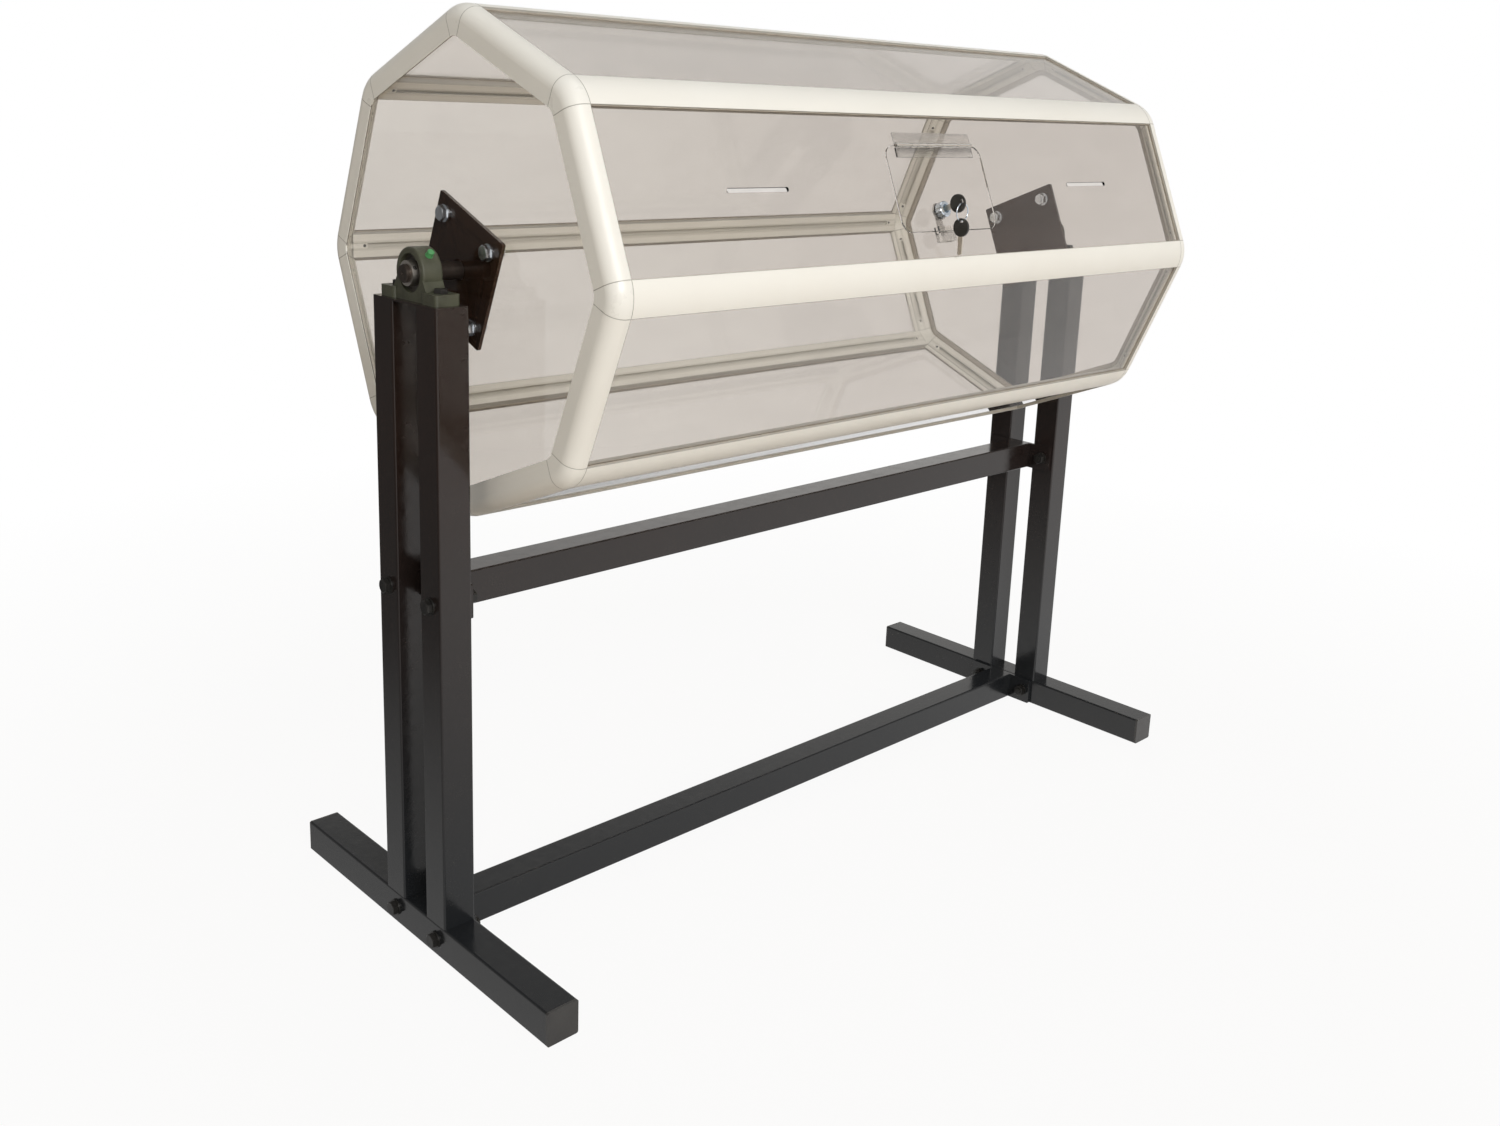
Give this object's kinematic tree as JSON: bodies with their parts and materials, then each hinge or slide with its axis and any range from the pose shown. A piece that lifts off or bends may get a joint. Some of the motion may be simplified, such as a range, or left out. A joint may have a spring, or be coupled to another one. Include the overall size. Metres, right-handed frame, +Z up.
{
  "type": "raffle drum",
  "caption": "Clear octagonal raffle drum in an ivory frame, turning in pillow blocks on a black steel stand, with ticket slots and a locked flap.",
  "frame": {"origin": "on the floor, midway between the two feet, under the drum's axis", "axes": "+X along the drum's axis, +Z up, -Y towards the side with the flap"},
  "size_m": [1.49, 0.7117, 1.321],
  "materials": {
    "black_gloss_paint": "gloss black paint on square steel tube",
    "black_plate_paint": "gloss black paint on flat steel",
    "foot_cap_plastic": "black moulded plastic",
    "black_bolt": "blackened steel",
    "zinc_bolt": "bright zinc plate",
    "green_cast_iron": "dark olive green paint on cast iron",
    "bearing_steel": "ground bearing steel",
    "seal_black": "dark steel ring with black shields",
    "shaft_black": "black oxide steel",
    "nipple_brass": "turned brass",
    "nipple_green": "bright green soft plastic",
    "ivory_aluminium": "satin ivory powder coat on extruded aluminium",
    "ivory_casting": "satin ivory powder coat on die-cast aluminium",
    "dark_screw": "dark steel socket screw",
    "clear_acrylic": "clear polished acrylic sheet",
    "gasket_rubber": "grey-brown rubber",
    "hinge_plastic": "translucent plastic",
    "chrome": "polished chrome",
    "lock_steel": "dull zinc plate",
    "key_plastic": "black moulded plastic",
    "key_metal": "nickel-plated brass key"
  },
  "bodies": {
    "stand": {"foot_left": "black_gloss_paint", "foot_right": "black_gloss_paint", "foot_end_caps": "foot_cap_plastic", "post_left_front": "black_gloss_paint", "post_left_back": "black_gloss_paint", "post_right_front": "black_gloss_paint", "post_right_back": "black_gloss_paint", "lower_beam": "black_gloss_paint", "upper_beam": "black_gloss_paint", "beam_flanges": "black_gloss_paint", "beam_bolts": "black_bolt", "beam_washers": "black_bolt", "beam_nuts": "black_bolt", "bearing_seats": "black_gloss_paint", "bearing_housing_left": "green_cast_iron", "bearing_housing_right": "green_cast_iron", "bearing_bolts": "black_bolt", "grease_nipples": "nipple_brass", "nipple_caps": "nipple_green", "bearing_outer_rings": "seal_black"},
    "drum": {"bearing_inner_rings": "bearing_steel", "set_screws": "dark_screw", "shaft_left": "shaft_black", "shaft_right": "shaft_black", "end_plate_left": "black_plate_paint", "end_plate_right": "black_plate_paint", "plate_bolts": "zinc_bolt", "plate_washers": "zinc_bolt", "plate_nuts": "zinc_bolt", "rail_top": "ivory_aluminium", "rail_front_top": "ivory_aluminium", "rail_front": "ivory_aluminium", "rail_front_low": "ivory_aluminium", "rail_bottom": "ivory_aluminium", "rail_back_low": "ivory_aluminium", "rail_back": "ivory_aluminium", "rail_back_top": "ivory_aluminium", "ring_bars_left": "ivory_aluminium", "corner_connectors_left": "ivory_casting", "ring_bars_right": "ivory_aluminium", "corner_connectors_right": "ivory_casting", "connector_screws": "dark_screw", "panel_front_upper": "clear_acrylic", "side_panels": "clear_acrylic", "end_panels": "clear_acrylic", "panel_gaskets": "gasket_rubber", "catch_block": "clear_acrylic", "hinge_fixed_leaf": "hinge_plastic", "hinge_pin": "lock_steel"},
    "door": {"door_flap": "clear_acrylic", "hinge_moving_leaf": "hinge_plastic", "lock_barrel": "chrome", "lock_nut": "lock_steel"},
    "lock_plug": {"lock_plug": "chrome", "lock_cam": "lock_steel", "lock_key_bow": "key_plastic", "lock_key_blade": "key_metal"},
    "spare_key": {"key_ring": "chrome", "spare_key_bow": "key_plastic", "spare_key_blade": "key_metal"}
  },
  "joints": [
    {"name": "drum_spin", "type": "hinge", "parent": "stand", "child": "drum", "pos_m": [0, 0, 0.9745], "axis": [1, 0, 0], "continuous": true},
    {"name": "door_hinge", "type": "hinge", "parent": "drum", "child": "door", "pos_m": [0, -0.27628, 1.15702], "axis": [-1, 0, 0], "range_deg": [0, 150]},
    {"name": "lock_turn", "type": "hinge", "parent": "door", "child": "lock_plug", "pos_m": [-0.018, -0.31137, 1.06343], "axis": [0, -0.9239, 0.3827], "range_deg": [0, 90]},
    {"name": "key_swing", "type": "hinge", "parent": "lock_plug", "child": "spare_key", "pos_m": [-0.018, -0.35169, 1.07742], "axis": [-1, 0, 0], "range_deg": [-5, 75]}
  ]
}
